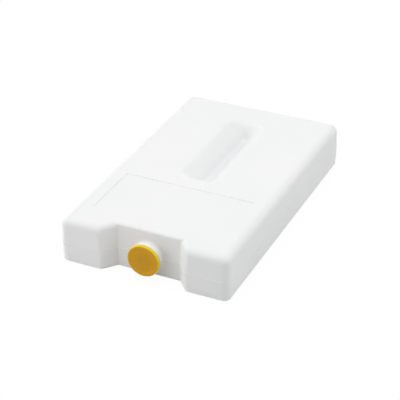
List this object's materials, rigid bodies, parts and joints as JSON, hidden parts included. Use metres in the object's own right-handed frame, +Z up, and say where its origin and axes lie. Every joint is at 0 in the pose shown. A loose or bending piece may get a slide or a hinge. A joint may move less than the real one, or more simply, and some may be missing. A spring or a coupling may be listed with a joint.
{
  "type": "reusable ice pack",
  "caption": "Hard-shell reusable ice pack: a filled flat slab with a flared grip recess, a shallow label panel and a round press-in filler cap in a front notch.",
  "frame": {"origin": "middle of the footprint, on the surface that the pack rests on", "axes": "+Y along the length, from the filler end to the back; +X across the width, to the right seen from the filler end; +Z up, out of the face with the grip recess"},
  "size_m": [0.15, 0.25, 0.04],
  "materials": {
    "shell": "satin white",
    "cap": "semi-gloss yellow-orange"
  },
  "bodies": {
    "root": {"moulded_body": "shell", "sealing_cap": "cap"}
  },
  "joints": []
}
